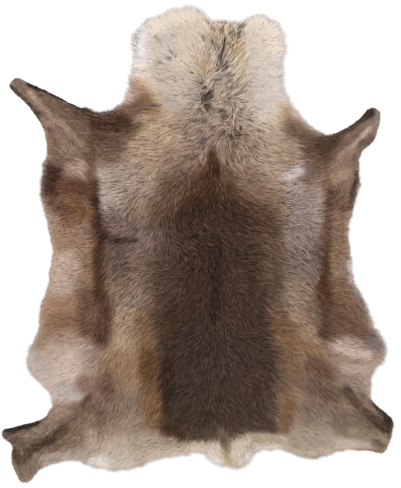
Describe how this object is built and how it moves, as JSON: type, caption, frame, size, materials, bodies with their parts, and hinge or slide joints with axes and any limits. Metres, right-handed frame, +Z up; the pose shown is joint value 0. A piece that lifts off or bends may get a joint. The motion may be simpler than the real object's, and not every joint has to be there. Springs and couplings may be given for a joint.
{
  "type": "reindeer hide",
  "caption": "Tanned reindeer hide with its hair on, opened flat with neck, four legs and tail, laid hair side up as a rug or throw.",
  "frame": {"origin": "on the floor, under the middle of the hide's box", "axes": "+Z up out of the hair side; +Y along the back towards the neck; +X towards the right-hand legs as seen from above with the neck away"},
  "size_m": [1.021, 1.2496, 0.034],
  "materials": {
    "coat": "dense hair on the skin, dark brown along the back, grey-brown and tan on the flanks, cream on neck, tail and rump",
    "skin": "pale matt tanned flesh side, suede-like"
  },
  "bodies": {
    "root": {"hide": "coat"}
  },
  "joints": []
}
